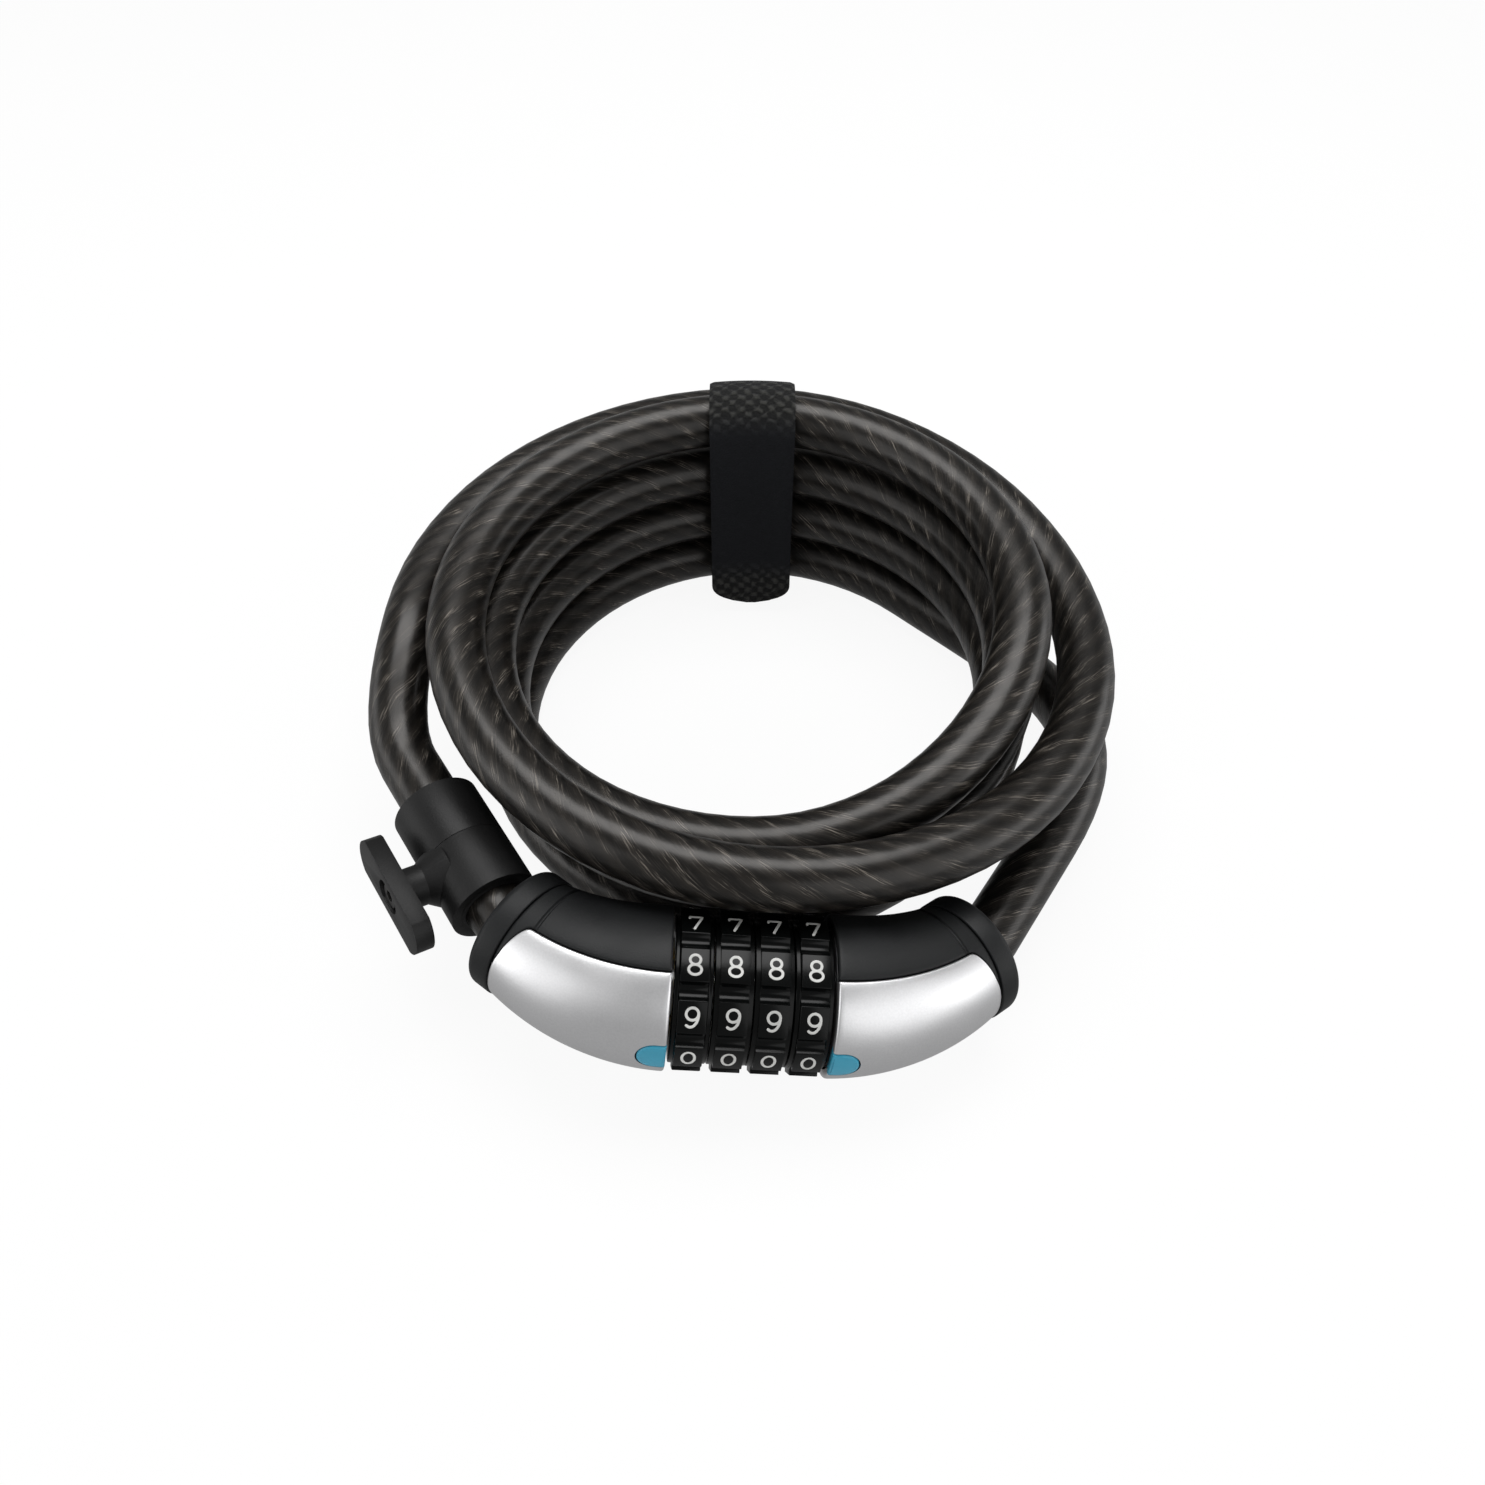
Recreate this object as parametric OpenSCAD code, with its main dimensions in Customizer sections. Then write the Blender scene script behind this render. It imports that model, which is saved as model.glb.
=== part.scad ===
// Coiled cable lock with a four-dial combination head.
// A thick jacketed steel cable lies in a coil, tied by a hook-and-loop strap. Its two ends meet in a curved
// head: the left half carries the dials, the right half is the plug whose notched pin they hold.
// A swivelling carrier bracket with a T-shaped stud rides on the cable beside the head.
// Millimetres, +Z up. The origin is on the floor, under the middle of the head and the strap.

/* [Cable] */
// Outer diameter of the jacketed cable
cable_d = 12; // [11:0.5:12.5]
// Air between turns that lie on each other
turn_gap = 0.8; // [0.7:0.1:1.5]
// Radius of the cable's centre line in the stacked inner turns
coil_r = 56; // [55:0.5:60]
// Rings of points in one turn of the coil
rings_per_turn = 30; // [24:2:40]
// Sides of the coiled tube
tube_sides = 10; // [6:2:12]

/* [Dials] */
// Distance between two opposite number faces of a dial
dial_across = 29; // [28:0.5:30]
// Distance from one dial to the next
dial_pitch = 7.1; // [7:0.1:7.6]
// Width of the raised number faces
face_w = 5.2; // [4.8:0.1:5.8]
// Air between neighbouring dials
dial_gap = 0.3; // [0.2:0.05:0.5]
// Angle of the index line above the horizontal
index_angle = 6; // [0:1:12]

/* [Lock head] */
// Radius of the housing beside the dials
mid_r = 15; // [14.8:0.1:15.6]
// Radius of the housing at the collars
end_r = 12; // [11.5:0.1:12.6]
// Radius of the curve that each half follows
bend_r = 44; // [40:1:50]
// Angle that each half turns through
bend_angle = 36; // [32:1:38]
// Thickness of the metal shells and of the soft covers
skin_t = 1.6; // [1.2:0.1:1.8]
// Length of the collars
collar_l = 5; // [4.5:0.5:8]
// Height of the middle of the head above the floor
head_z = 20.5; // [20:0.1:22]
// Slope of the head, left end up
head_tilt = 6; // [4:0.5:6]
// Distance from the middle of the coil to the middle of the head
head_reach = 81.2; // [81:0.2:84]

/* [Mechanism] */
// Radius of the locking pin
pin_r = 2.95; // [2.6:0.05:3.1]
// Wall of the spindle sleeve
sleeve_wall = 2; // [1.6:0.1:2.2]
// Height of the pin's bits above the sleeve
bit_h = 1.9; // [1.5:0.1:2.2]
// Thickness of the pin's bits
bit_t = 1.8; // [1.4:0.1:2]
// Running clearance on the radius
fit = 0.06; // [0.04:0.01:0.1]

/* [Carrier bracket] */
// Outer diameter of the bracket
bracket_d = 17.5; // [17.5:0.5:19]
// Length of the bracket along the cable
bracket_l = 26; // [24:1:28]
// Length of the T-bar
tee_l = 26; // [22:1:28]
// Width of the T-bar
tee_w = 9; // [8:0.5:10]
// Thickness of the T-bar
tee_t = 3.5; // [3:0.5:4]
// Diameter of the stud's neck
neck_d = 8; // [7:0.5:9]
// Distance from the cable's axis to the outer face of the T-bar
tee_reach = 17; // [16.5:0.5:20]
// Angle of the stud above the horizontal
tee_angle = 8; // [0:2:20]

/* [Strap] */
// Width of the strap
strap_w = 20; // [16:1:25]
// Thickness of the strap
strap_t = 1.3; // [1:0.1:2]

/* [Hidden] */

// Numbers of steps on curved faces
round_fn = 64;
small_fn = 32;
bend_steps = 10;
shell_steps = 12;
cover_steps = 20;
core_sides = 24;

// Places: the head is centred on X, and the coil is set so that head and strap balance about the origin
cable_r = cable_d / 2;
strap_air = 0.3;
lay_step = cable_d + turn_gap;
back_out = 1.3;
back_lift = (strap_air + strap_t) / lay_step;
top_level = 3.35;
outer_level = 2.6;
coil_x = 1.2;
mark_proud = 0.15;
strap_reach = coil_r + back_out * lay_step + cable_r + strap_air + strap_t;
coil_y = (head_reach + mid_r + mark_proud - strap_reach) / 2;
head_y = coil_y - head_reach;

// The lay of the cable, one row for each quarter turn, clockwise from the left side.
// [steps outward from the inner turns, levels above the lowest turn], in steps of one cable
lay = [
    [1.4, 2.45], [back_out, outer_level], [1.3, 2.05], [1.0, 2.6],
    [0.45, 3.1], [0, top_level], [0.06, 3.1], [0.1, 2.05],
    [0.15, 2.1], [0, 2.25], [0.06, 2.0], [0, 1.02],
    [0.05, 1.05], [0, 1.17], [0.06, 1.0], [0, 0],
    [0.05, 0], [0, back_lift], [0.1, 0]
];
first_turn = 0.25;
last_turn = 4.625;
start_steps = 5;
end_steps = 11;
end_pull = 1.55;

// The dial block
dial_count = 4;
face_count = 10;
block_half = dial_count * dial_pitch / 2;
dial_w = dial_pitch - dial_gap;
corner_r = dial_across / 2 / cos(180 / face_count);
notch_r = 1.7;
shoulder_drop = 1.1;
shoulder_r = dial_across / 2 - shoulder_drop;
block_air = 0.4;
face_x = block_half + block_air;
plate_t = 0.8;
plate_r = 8;
plate_air = 0.4;

// Clearances: seat for what is pressed or glued in, loose for a pin through two pieces
seat = 0.03;
loose = 0.05;

// Mechanism, radii about the spindle
sleeve_in_r = pin_r + fit;
sleeve_r = sleeve_in_r + sleeve_wall;
ring_in_r = sleeve_r + fit;
bit_r = sleeve_r + bit_h;
bit_air = 0.4;
recess_r = bit_r + bit_air;
ring_wall = 1.4;
ring_r = recess_r + ring_wall;
dial_in_r = ring_r + fit;
key_w = 2;
key_h = 0.9;
flange_t = 2.4;
bit_l = 2.2;
bit_back = 0.4;
slot_w = bit_t + 0.3;
gate_w = bit_t + 0.4;
sleeve_seat = 11;
pin_past = 5;
pin_tip_x = -block_half - pin_past;
pin_root_x = face_x + sleeve_seat;
cross_d = 2.4;
cross_reach = sleeve_r + 3;
leaf_w = 2;
leaf_t = 0.4;

// Housing
skin_air = 0.1;
core_air = 0.45;
seam_air = 0.25;
border_mid = 65;
border_end = 67;
border_least = 6;
corner_start = 0.88;
wall_end = 2.5;
collar_r = end_r + 0.3;
collar_round = 1.6;
spigot_r = end_r - 2.1;
ferrule_l = 12.5;
ferrule_r = 4.6;
end_x = face_x + bend_r * sin(bend_angle) + collar_l * cos(bend_angle);
end_y = bend_r * (1 - cos(bend_angle)) + collar_l * sin(bend_angle);
mark_l = 5.2;
mark_h = 6.6;

// Cable ends: a short bend out of each collar, then a straight run
lead_bend_r = 14;
lead_bend = 20;
lead_steps = 4;
lead_sides = 24;
bracket_air = 0.6;
bracket_start = 0.4;
left_run = bracket_start + bracket_l + bracket_air;
right_run = 16;

// Bracket
bracket_r = bracket_d / 2;
liner_t = 0.8;
liner_in_r = cable_r + fit;
ring_bore_r = liner_in_r + liner_t + seat;
spigot_l = 7;
spigot_wall = 0.85;
seam_at = bracket_l / 2;
tee_shift = 2.8;
tee_flat = 1.12;
screw_r = 1.4;
screw_head_r = 2.4;
screw_head_h = 1.8;
screw_sunk = 0.4;
screw_floor = 0.6;
socket_r = 1.2;
slot_shift = 1.2;
foot_flare = 3;
foot_h = 1.5;
foot_low = 3;

// ------------------------------------------------------------------ frames

module at_head() {
    translate([0, head_y, head_z]) rotate([0, head_tilt, 0]) children();
}

// Right side as drawn, left side mirrored
module on_side(side) {
    at_head() mirror([side < 0 ? 1 : 0, 0, 0]) children();
}

// +Z along the cable, out of the collar, with the origin in the collar's end face
module at_mouth(side) {
    on_side(side) translate([end_x, end_y, 0]) rotate([0, 0, bend_angle]) rotate([0, 90, 0]) children();
}

// The same past the short bend of the cable
module past_bend(side) {
    at_mouth(side) translate([0, lead_bend_r, 0]) rotate([-lead_bend, 0, 0])
        translate([0, -lead_bend_r, 0]) children();
}

// Along +X, turned so that -Y points at the index line
module at_spindle() {
    at_head() rotate([-index_angle, 0, 0]) children();
}

module along_x(x0, x1) {
    translate([x0, 0, 0]) rotate([0, 90, 0]) linear_extrude(x1 - x0) children();
}

// ------------------------------------------------------------------ curved housing

function bend_t(i) = sin(90 * i / bend_steps);
function housing_r(t) = mid_r - (mid_r - end_r) * pow(t, 1.5);
function border(t) =
    let (
        full = border_mid + (border_end - border_mid) * t,
        past = max(0, (t - corner_start) / (1 - corner_start))
    )
    max(border_least, full * sqrt(max(0, 1 - past * past)));

// A point of the right half: t along the bend, angle up from the outward side, radius in the section
function housing_point(t, angle, radius) =
    let (b = bend_angle * t)
    [
        face_x + bend_r * sin(b) + radius * cos(angle) * sin(b),
        bend_r * (1 - cos(b)) - radius * cos(angle) * cos(b),
        radius * sin(angle)
    ];

// Two triangles for each cell of a grid of points with the given number of columns
function grid_faces(rows, cols, start, flip) = [
    for (i = [0:rows - 1], j = [0:cols - 1])
        let (a = start + i * (cols + 1) + j, b = a + 1, c = a + cols + 1, d = c + 1)
        each flip ? [[a, c, b], [b, c, d]] : [[a, b, c], [b, d, c]]
];

// The faces that close the rim between an outer and an inner grid
function rim_faces(rows, cols) =
    let (n = (rows + 1) * (cols + 1), w = cols + 1)
    concat(
        [for (j = [0:cols - 1]) each [[j, j + n, j + 1], [j + 1, j + n, j + n + 1]]],
        [for (j = [0:cols - 1]) let (k = rows * w + j) each [[k, k + 1, k + n], [k + 1, k + n + 1, k + n]]],
        [for (i = [0:rows - 1]) let (k = i * w) each [[k, k + w, k + n], [k + w, k + n + w, k + n]]],
        [for (i = [0:rows - 1]) let (k = i * w + cols) each [[k, k + n, k + w], [k + w, k + n, k + n + w]]]
    );

// A curved plate on the housing, between two border angles that vary along the bend
module skin(from_sign, cols, proud, thick, t_end) {
    angles = function (t, j)
        let (
            air = seam_air / 2 / housing_r(t) * 180 / PI,
            low = from_sign < 0 ? -border(t) + air : border(t) + air,
            high = from_sign < 0 ? border(t) - air : 360 - border(t) - air
        )
        low + (high - low) * j / cols;
    points = [
        for (layer = [proud, proud - thick], i = [0:bend_steps], j = [0:cols])
            let (t = bend_t(i) * t_end)
            housing_point(t, angles(t, j), housing_r(t) + layer)
    ];
    polyhedron(
        points,
        concat(
            grid_faces(bend_steps, cols, 0, false),
            grid_faces(bend_steps, cols, (bend_steps + 1) * (cols + 1), true),
            rim_faces(bend_steps, cols)
        )
    );
}

module core_loft() {
    n = core_sides;
    points = [
        for (i = [0:bend_steps], j = [0:n - 1])
            let (t = i / bend_steps)
            housing_point(t, 360 * j / n, housing_r(t) - skin_t - core_air)
    ];
    polyhedron(
        points,
        concat(
            [[for (j = [n - 1:-1:0]) j]],
            [[for (j = [0:n - 1]) bend_steps * n + j]],
            [
                for (i = [0:bend_steps - 1], j = [0:n - 1])
                    let (a = i * n + j, b = i * n + (j + 1) % n, c = a + n, d = b + n)
                    each [[a, b, c], [b, d, c]]
            ]
        )
    );
}

// The half-oval index mark, seen from the front, beside the dial block
module mark_outline(air) {
    translate([face_x - 1, -mark_h / 2 - air]) square([mark_l - mark_h / 2 + 1, mark_h + 2 * air]);
    translate([face_x + mark_l - mark_h / 2, 0]) circle(r = mark_h / 2 + air, $fn = small_fn);
}

module mark_block(air) {
    rotate([-index_angle, 0, 0]) rotate([90, 0, 0]) linear_extrude(mid_r + 2) mark_outline(air);
}

module housing_shell(side) {
    on_side(side) difference() {
        skin(-1, shell_steps, 0, skin_t, 1);
        mark_block(seam_air);
    }
}

module housing_cover(side) {
    on_side(side) skin(1, cover_steps, 0, skin_t, 1);
}

module index_mark(side) {
    on_side(side) intersection() {
        skin(-1, shell_steps, mark_proud, skin_t + mark_proud, 0.5);
        mark_block(0);
    }
}

// Turned collar: it slides over the core's spigot and lets the cable out of its end wall
module housing_collar(side) {
    at_mouth(side) rotate_extrude($fn = round_fn) difference() {
        translate([0, -collar_l + skin_air]) union() {
            square([collar_r, collar_l - skin_air - collar_round]);
            square([collar_r - collar_round, collar_l - skin_air]);
            translate([collar_r - collar_round, collar_l - skin_air - collar_round])
                circle(r = collar_round, $fn = small_fn);
        }
        translate([-1, -collar_l - 1]) square([spigot_r + skin_air + 1, collar_l + 1 - wall_end]);
        translate([-1, -collar_l - 1]) square([cable_r + skin_air + 1, collar_l + 2]);
    }
}

module housing_core(side) {
    difference() {
        union() {
            on_side(side) core_loft();
            at_mouth(side) translate([0, 0, -collar_l - 1])
                cylinder(r = spigot_r, h = collar_l + 1 - wall_end - skin_air, $fn = round_fn);
        }
        at_mouth(side) translate([0, 0, -wall_end - skin_air - ferrule_l])
            cylinder(r = ferrule_r + fit, h = ferrule_l + 1, $fn = small_fn);
    }
}

module cable_ferrule(side) {
    at_mouth(side) translate([0, 0, -wall_end - skin_air - ferrule_l])
        cylinder(r = ferrule_r, h = ferrule_l, $fn = small_fn);
}

// ------------------------------------------------------------------ left half

module left_core() {
    color("dimgray") difference() {
        housing_core(-1);
        at_spindle() along_x(-face_x - sleeve_seat, -face_x + 1) circle(r = sleeve_r + fit, $fn = round_fn);
        cross_pin_place(-1) cylinder(d = cross_d + 2 * loose, h = 2 * mid_r, center = true, $fn = small_fn);
    }
}

module left_shell() {
    color("silver") housing_shell(-1);
}

module left_cover() {
    color([0.1, 0.1, 0.11]) housing_cover(-1);
}

module left_collar() {
    color([0.1, 0.1, 0.11]) housing_collar(-1);
}

module left_index_mark() {
    color([0.31, 0.65, 0.76]) index_mark(-1);
}

// Cross pins run up and down through the head
module cross_pin_place(side) {
    at_spindle() translate([side * (face_x + sleeve_seat / 2), 0, 0]) children();
}

module sleeve_cross_pin() {
    color("gainsboro") cross_pin_place(-1) difference() {
        cylinder(d = cross_d, h = 2 * cross_reach, center = true, $fn = small_fn);
        cylinder(d = cross_d + 1, h = 2 * (sleeve_in_r + loose), center = true, $fn = small_fn);
    }
}

// Slotted tube that the dials turn on
module spindle_sleeve() {
    color("gainsboro") difference() {
        at_spindle() along_x(-face_x - sleeve_seat + 0.1, block_half + plate_t)
            circle(r = sleeve_r, $fn = round_fn);
        at_spindle() along_x(-face_x - sleeve_seat - 1, block_half + plate_t + 1)
            circle(r = sleeve_in_r, $fn = round_fn);
        at_spindle() translate([-block_half + 0.5, -sleeve_r - 1, -slot_w / 2])
            cube([2 * block_half + plate_t + 1, sleeve_r + 1, slot_w]);
        at_spindle() translate([-block_half, sleeve_r - leaf_t - 0.1, -leaf_w / 2 - 0.1])
            cube([2 * block_half, 2, leaf_w + 0.2]);
        cross_pin_place(-1) cylinder(d = cross_d + 2 * loose, h = 2 * mid_r, center = true, $fn = small_fn);
    }
}

// Washer riveted on the sleeve's end, with a notch for the bits
module end_plate() {
    color("gainsboro") at_spindle() difference() {
        along_x(block_half, block_half + plate_t) circle(r = plate_r, $fn = round_fn);
        along_x(block_half - 1, block_half + plate_t + 1) circle(r = sleeve_r + seat, $fn = round_fn);
        translate([block_half - 1, -plate_r - 1, -gate_w / 2]) cube([plate_t + 2, plate_r + 1, gate_w]);
    }
}

module detent_leaf() {
    color("gainsboro") at_spindle() translate([-block_half + 0.2, sleeve_r - leaf_t - 0.05, -leaf_w / 2])
        cube([2 * block_half - 0.4, leaf_t, leaf_w]);
}

// ------------------------------------------------------------------ dials and code rings

function dial_x(k) = (k - (dial_count + 1) / 2) * dial_pitch;

module dial(k) {
    color([0.06, 0.06, 0.07]) at_spindle() difference() {
        union() {
            along_x(dial_x(k) - face_w / 2, dial_x(k) + face_w / 2) difference() {
                rotate(180 / face_count + 90) circle(r = corner_r, $fn = face_count);
                for (i = [0:face_count - 1])
                    rotate((i + 0.5) * 360 / face_count + 90) translate([corner_r, 0])
                        circle(r = notch_r, $fn = 20);
            }
            along_x(dial_x(k) - dial_w / 2, dial_x(k) + dial_w / 2) circle(r = shoulder_r, $fn = round_fn);
        }
        along_x(dial_x(k) - dial_w, dial_x(k) + dial_w) circle(r = dial_in_r, $fn = round_fn);
        translate([dial_x(k) - dial_w, -key_w / 2 - fit, dial_in_r - 1])
            cube([2 * dial_w, key_w + 2 * fit, key_h + 1 + fit]);
    }
}

// Ring keyed into its dial: a pocket where the bit rests, then a flange with one gate
module code_ring(k) {
    color("darkgoldenrod") at_spindle() difference() {
        union() {
            along_x(dial_x(k) - dial_w / 2, dial_x(k) + dial_w / 2) circle(r = ring_r, $fn = round_fn);
            translate([dial_x(k) - dial_w / 2, -key_w / 2, ring_r - 1]) cube([dial_w, key_w, key_h + 1]);
        }
        along_x(dial_x(k) - dial_w, dial_x(k) + dial_w) circle(r = ring_in_r, $fn = round_fn);
        along_x(dial_x(k) - dial_w, dial_x(k) + dial_w / 2 - flange_t) circle(r = recess_r, $fn = round_fn);
        translate([dial_x(k) - dial_w, -recess_r, -gate_w / 2]) cube([2 * dial_w, recess_r, gate_w]);
    }
}

// ------------------------------------------------------------------ plug half

module plug_core() {
    color("dimgray") difference() {
        housing_core(1);
        at_spindle() along_x(face_x - 1, face_x + plate_t + plate_air / 2) circle(r = plate_r + plate_air, $fn = round_fn);
        at_spindle() along_x(face_x - 1, pin_root_x) circle(r = pin_r + seat, $fn = small_fn);
        cross_pin_place(1) cylinder(d = cross_d + 2 * loose, h = 2 * mid_r, center = true, $fn = small_fn);
    }
}

module plug_shell() {
    color("silver") housing_shell(1);
}

module plug_cover() {
    color([0.1, 0.1, 0.11]) housing_cover(1);
}

module plug_collar() {
    color([0.1, 0.1, 0.11]) housing_collar(1);
}

module plug_index_mark() {
    color([0.31, 0.65, 0.76]) index_mark(1);
}

// Round pin with one bit behind each dial's flange
module locking_pin() {
    color("lightgray") difference() {
        at_spindle() union() {
            along_x(pin_tip_x, pin_root_x - 0.1) circle(r = pin_r, $fn = small_fn);
            for (k = [1:dial_count])
                translate([dial_x(k) + dial_w / 2 - flange_t - bit_back - bit_l, -bit_r, -bit_t / 2])
                    cube([bit_l, bit_r, bit_t]);
        }
        cross_pin_place(1) cylinder(d = cross_d + 2 * loose, h = 2 * mid_r, center = true, $fn = small_fn);
    }
}

module plug_cross_pin() {
    color("gainsboro") cross_pin_place(1)
        cylinder(d = cross_d, h = 2 * cross_reach, center = true, $fn = small_fn);
}

// ------------------------------------------------------------------ cable

// The route as points, worked out as the frames above place them
function turn_z(v, a) = [v.x * cos(a) - v.y * sin(a), v.x * sin(a) + v.y * cos(a), v.z];
function tilt_y(v, a) = [v.x * cos(a) + v.z * sin(a), v.y, v.z * cos(a) - v.x * sin(a)];
function in_part(side, v) = [0, head_y, head_z] + tilt_y([side * v.x, v.y, v.z], head_tilt);
function bent_way(side, bend) =
    let (v = turn_z([1, 0, 0], bend_angle + bend)) tilt_y([side * v.x, v.y, v.z], head_tilt);
function bent_point(bend) =
    [end_x, end_y, 0] + turn_z([0, lead_bend_r, 0], bend_angle)
    + turn_z([0, -lead_bend_r, 0], bend_angle + bend);
function lead_way(side) = bent_way(side, lead_bend);
function lead_end(side, run) = in_part(side, bent_point(lead_bend)) + run * lead_way(side);
bends = [for (k = [0:lead_steps]) lead_bend * k / lead_steps];

// Between rows of the lay each value follows a cubic that never passes the rows on either side
function slope(a, b, c) = (b - a) * (c - b) > 0 ? 2 * (b - a) * (c - b) / (c - a) : 0;
function cubic(a, ma, b, mb, t) =
    a * (1 + t * t * (2 * t - 3)) + b * t * t * (3 - 2 * t)
    + ma * t * (1 - t) * (1 - t) - mb * t * t * (1 - t);
function row(i, k) = lay[max(0, min(len(lay) - 1, i))][k];
function laid(turn, k) =
    let (
        s = (turn - first_turn) * 4,
        i = min(len(lay) - 2, floor(s)),
        t = s - i
    )
    cubic(
        row(i, k), slope(row(i - 1, k), row(i, k), row(i + 1, k)),
        row(i + 1, k), slope(row(i, k), row(i + 1, k), row(i + 2, k)),
        t
    );
function coil_point(turn) =
    let (
        r = coil_r + lay_step * laid(turn, 0),
        a = 360 * turn
    )
    [coil_x - r * sin(a), coil_y - r * cos(a), cable_r + lay_step * laid(turn, 1)];

// A smooth run from one point and direction to another: a stronger pull holds both directions for longer
function joined(p, way_p, q, way_q, n, pull) =
    let (reach = pull * norm(q - p))
    [for (i = [1:n - 1]) let (t = i / n) cubic(p, way_p * reach, q, way_q * reach, t)];

function unit(v) = v / norm(v);
coil_start = lead_end(-1, left_run);
coil_end = lead_end(1, right_run);
start_straight = coil_start + cable_d * lead_way(-1);
end_straight = coil_end + cable_d * lead_way(1);
turn_step = 1 / rings_per_turn;
first_way = unit(coil_point(first_turn + 0.001) - coil_point(first_turn));
last_way = unit(coil_point(last_turn) - coil_point(last_turn - 0.001));
coil_path = concat(
    [coil_start, start_straight],
    joined(start_straight, lead_way(-1), coil_point(first_turn), first_way, start_steps, 1),
    [for (u = [first_turn:turn_step:last_turn - turn_step / 2]) coil_point(u)],
    [coil_point(last_turn)],
    joined(coil_point(last_turn), last_way, end_straight, -lead_way(1), end_steps, end_pull),
    [end_straight, coil_end]
);
coil_rings = len(coil_path);

function path_way(i) =
    i == 0 ? lead_way(-1)
    : i == coil_rings - 1 ? -lead_way(1)
    : unit(unit(coil_path[i + 1] - coil_path[i]) + unit(coil_path[i] - coil_path[i - 1]));
function ring_at(point, way, sides) =
    let (
        side = unit(cross(way, [0, 0, 1])),
        up = cross(side, way)
    )
    [for (j = [0:sides - 1])
        let (a = 360 * (j + 0.5) / sides)
        point + cable_r * (cos(a) * side + sin(a) * up)];

// Least distance between turns, measured centre to centre on the rings and taken less one diameter
function turn_clearance() =
    min([
        for (i = [0:coil_rings - 1], j = [i + floor(rings_per_turn * 0.6):1:coil_rings - 1])
            norm(coil_path[i] - coil_path[j])
    ]) - cable_d;
function path_length(i) = i == 0 ? 0 : norm(coil_path[i] - coil_path[i - 1]) + path_length(i - 1);

// A tube along points, with a ring of corners at each point square to the way given there
module tube(points, ways, n) {
    last = len(points) - 1;
    polyhedron(
        [for (i = [0:last]) each ring_at(points[i], ways[i], n)],
        concat(
            [[for (j = [n - 1:-1:0]) j]],
            [[for (j = [0:n - 1]) last * n + j]],
            [
                for (i = [0:last - 1], j = [0:n - 1])
                    let (a = i * n + j, b = i * n + (j + 1) % n, c = a + n, d = b + n)
                    each [[a, b, c], [b, d, c]]
            ]
        )
    );
}

module cable_coil() {
    color([0.2, 0.19, 0.18]) tube(coil_path, [for (i = [0:coil_rings - 1]) path_way(i)], tube_sides);
}

// Straight stub in the collar, a short bend and a straight run, all one diameter
module cable_lead(side, run) {
    stub = in_part(side, bent_point(0)) - (wall_end + skin_air) * bent_way(side, 0);
    color([0.2, 0.19, 0.18]) tube(
        concat([stub], [for (b = bends) in_part(side, bent_point(b))], [lead_end(side, run)]),
        concat([bent_way(side, 0)], [for (b = bends) bent_way(side, b)], [lead_way(side)]),
        lead_sides
    );
}

module fixed_ferrule() {
    color("silver") cable_ferrule(-1);
}

module plug_ferrule() {
    color("silver") cable_ferrule(1);
}

// ------------------------------------------------------------------ strap

// Outline of a band pulled round circles of one radius, whose centres are listed anticlockwise
function band(centres, r, n) = [
    for (i = [0:len(centres) - 1])
        let (
            here = centres[i],
            before = centres[(i + len(centres) - 1) % len(centres)],
            after = centres[(i + 1) % len(centres)],
            into = atan2(here.y - before.y, here.x - before.x) - 90,
            out = atan2(after.y - here.y, after.x - here.x) - 90,
            sweep = ((out - into) % 360 + 360) % 360
        )
        for (k = [0:n]) here + r * [cos(into + sweep * k / n), sin(into + sweep * k / n)]
];
back_top = [coil_r, cable_r + lay_step * top_level];
back_outer = [coil_r + back_out * lay_step, cable_r + lay_step * outer_level];
back_low = [coil_r, cable_r + lay_step * back_lift];
bundle = [back_low, back_outer, back_top];
flap_low = 4;

module strap_turn(outline_r, outline_hole_r) {
    rotate_extrude(angle = 40, start = 70, $fn = 120) difference() {
        polygon(band(bundle, outline_r, 6));
        polygon(band(bundle, outline_hole_r, 6));
    }
}

module strap() {
    inner = cable_r + strap_air;
    color([0.07, 0.07, 0.09]) translate([coil_x, coil_y, 0]) union() {
        intersection() {
            strap_turn(inner + strap_t, inner);
            translate([-strap_w / 2, 0, -1]) cube([strap_w, 2 * strap_reach, 100]);
        }
        // The strap's free end, pressed on the inner run, with a round tip
        intersection() {
            rotate_extrude(angle = 40, start = 70, $fn = 120)
                translate([coil_r - inner - 2 * strap_t, 0]) square([strap_t, back_top.y]);
            rotate([-90, 0, 0]) linear_extrude(coil_r) union() {
                translate([-strap_w / 2, -back_top.y]) square([strap_w, back_top.y - flap_low - strap_w / 2]);
                translate([0, -flap_low - strap_w / 2]) circle(d = strap_w, $fn = round_fn);
            }
        }
    }
}

// ------------------------------------------------------------------ carrier bracket

// Origin on the cable's axis at the near end of the bracket, +Z to the far end
module at_bracket() {
    past_bend(-1) translate([0, 0, bracket_start]) children();
}

// From a point on the cable's axis, +Z out along the stud and +Y along the cable
module at_stud() {
    at_bracket() translate([0, 0, seam_at - tee_shift]) rotate([90, 0, -tee_angle]) children();
}

module screw_bore(r) {
    at_stud() cylinder(r = r, h = tee_reach + 1, $fn = small_fn);
}

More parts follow.
